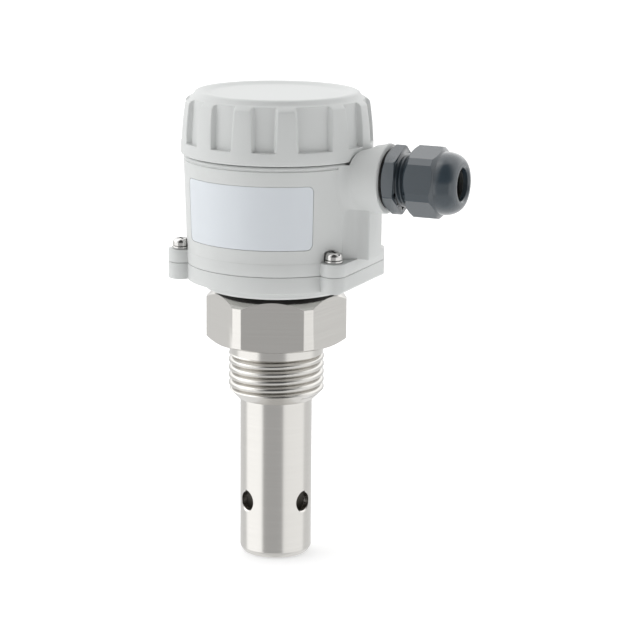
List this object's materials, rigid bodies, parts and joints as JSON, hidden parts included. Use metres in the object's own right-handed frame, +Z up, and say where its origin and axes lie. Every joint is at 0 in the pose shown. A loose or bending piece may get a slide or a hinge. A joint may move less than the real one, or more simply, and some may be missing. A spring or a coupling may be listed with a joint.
{
  "type": "inductive conductivity sensor",
  "caption": "Inductive conductivity sensor with a perforated steel probe tube, hexagon process fitting, screwed plastic head and side cable gland",
  "frame": {"origin": "on the sensor's axis, in the plane of the sealing seat under the hexagon", "axes": "+Z up along the sensor's axis from the probe to the lid, +X the way the cable gland points, +Y to the back, away from the name plate"},
  "size_m": [0.1011, 0.0658, 0.163],
  "materials": {
    "black_rubber": "matt black rubber",
    "bright_steel": "bright plated steel",
    "cable_jacket": "grey cable jacket",
    "can_metal": "drawn aluminium can",
    "chip_resin": "black moulded resin",
    "copper": "enamelled copper winding",
    "head_plastic": "moulded light grey plastic, fine satin texture",
    "label": "blank bluish white plate, satin",
    "laminate": "green circuit laminate",
    "lead_jacket": "red insulation",
    "sensor_plastic": "beige machined sensor plastic",
    "slate_plastic": "slate grey moulded polyamide",
    "steel": "turned and ground stainless steel",
    "terminal_plastic": "green terminal plastic",
    "white_plastic": "white connector plastic"
  },
  "bodies": {
    "sensor": {"base_flange": "head_plastic", "base_gasket": "black_rubber", "base_screw_1": "bright_steel", "base_screw_2": "bright_steel", "base_screw_3": "bright_steel", "base_screw_4": "bright_steel", "base_washer_1": "bright_steel", "base_washer_2": "bright_steel", "base_washer_3": "bright_steel", "base_washer_4": "bright_steel", "board_screw_1": "bright_steel", "board_screw_2": "bright_steel", "board_screw_3": "bright_steel", "circuit_board": "laminate", "coil_carrier": "sensor_plastic", "coil_cover": "sensor_plastic", "coil_lead": "lead_jacket", "drive_coil": "copper", "gland_body": "slate_plastic", "gland_gasket": "black_rubber", "gland_seal": "black_rubber", "guard_tube": "steel", "head_housing": "head_plastic", "label_plate": "label", "lead_plug": "white_plastic", "neck_nut": "bright_steel", "neck_seal": "black_rubber", "probe_o_ring": "black_rubber", "process_fitting": "steel", "receive_coil": "copper", "screen_ring": "steel", "sensor_cable": "cable_jacket", "signal_chip": "chip_resin", "storage_capacitor": "can_metal", "temperature_probe": "steel", "terminal_block": "terminal_plastic", "terminal_screw_1": "bright_steel", "terminal_screw_2": "bright_steel", "terminal_screw_3": "bright_steel", "terminal_screw_4": "bright_steel", "terminal_screw_5": "bright_steel"},
    "lid_ring": {"lid_seal": "black_rubber"},
    "lid_cover": {"lid": "head_plastic"},
    "cap_ring": {"gland_thrust_ring": "white_plastic"},
    "cap_nut": {"gland_cap": "slate_plastic"}
  },
  "joints": [
    {"name": "lid_lift", "type": "slide", "parent": "sensor", "child": "lid_ring", "axis": [0, 0, 1], "range_m": [0, 0.005]},
    {"name": "lid_turn", "type": "hinge", "parent": "lid_ring", "child": "lid_cover", "pos_m": [0, 0, 0.07], "axis": [0, 0, 1], "range_deg": [0, 301]},
    {"name": "cap_feed", "type": "slide", "parent": "sensor", "child": "cap_ring", "axis": [1, 0, 0], "range_m": [-0.00151, 0.00601]},
    {"name": "cap_turn", "type": "hinge", "parent": "cap_ring", "child": "cap_nut", "pos_m": [0.056, 0, 0.0596], "axis": [1, 0, 0], "range_deg": [-360, 1440]}
  ],
  "couplings": [
    {"joint": "lid_turn", "follows": "lid_lift", "rad_per_m": 1047.2},
    {"joint": "cap_feed", "follows": "cap_turn", "m_per_rad": 0.00023873}
  ]
}
